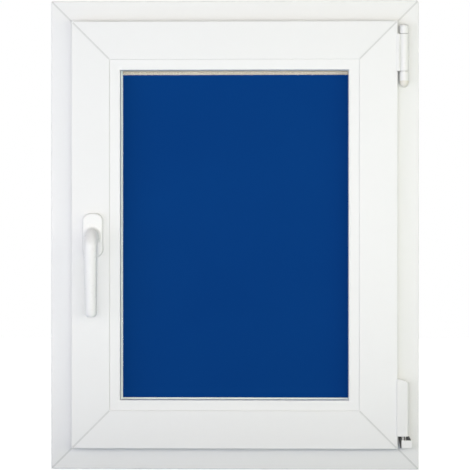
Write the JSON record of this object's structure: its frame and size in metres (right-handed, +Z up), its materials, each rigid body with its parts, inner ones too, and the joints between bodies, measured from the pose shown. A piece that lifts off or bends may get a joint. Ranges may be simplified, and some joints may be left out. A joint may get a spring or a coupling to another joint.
{
  "type": "tilt and turn window",
  "caption": "Single-sash tilt and turn window of white welded profiles, with sealed glass under a blue film, a lever handle on the left and hinges on the right.",
  "frame": {"origin": "centre of the underside of the frame, at half its width and half its depth, on the flat land between the clip grooves", "axes": "+Z up, +X to the right as seen from the room, +Y outdoors; the handle and hinges face -Y"},
  "size_m": [0.59, 0.1389, 0.752],
  "materials": {
    "white_profile": "smooth satin extruded plastic",
    "grey_seal": "matte soft seal",
    "clear_glass": "clear float glass",
    "spacer_metal": "brushed spacer bar",
    "dark_sealant": "matte sealant",
    "blue_film": "even matte film",
    "white_enamel": "powder coated, satin",
    "white_cap": "moulded plastic",
    "zinc_steel": "zinc plated"
  },
  "bodies": {
    "window": {"frame_head": "white_profile", "frame_sill": "white_profile", "frame_left_jamb": "white_profile", "frame_right_jamb": "white_profile", "overlap_seal": "grey_seal", "outer_seal": "grey_seal", "sash_top_rail": "white_profile", "sash_bottom_rail": "white_profile", "sash_left_stile": "white_profile", "sash_right_stile": "white_profile", "bead_top": "white_profile", "bead_bottom": "white_profile", "bead_left": "white_profile", "bead_right": "white_profile", "bead_gasket": "grey_seal", "outer_gasket": "grey_seal", "inner_pane": "clear_glass", "outer_pane": "clear_glass", "spacer_bar": "spacer_metal", "pane_edge_seal": "dark_sealant", "setting_blocks": "dark_sealant", "blue_film": "blue_film", "handle_rose": "white_enamel", "top_hinge_bearing": "white_enamel", "top_hinge_leaf": "white_enamel", "top_hinge_pin": "zinc_steel", "top_hinge_upper_cap": "white_cap", "top_hinge_lower_cap": "white_cap", "bottom_hinge_cover": "white_cap", "bottom_hinge_pin": "zinc_steel", "bottom_hinge_bearing": "white_enamel"},
    "handle": {"handle_lever": "white_enamel", "handle_spindle": "zinc_steel"}
  },
  "joints": [
    {"name": "handle_turn", "type": "hinge", "parent": "window", "child": "handle", "pos_m": [-0.2256, -0.066, 0.3755], "axis": [0, -1, 0], "range_deg": [0, 180]}
  ]
}
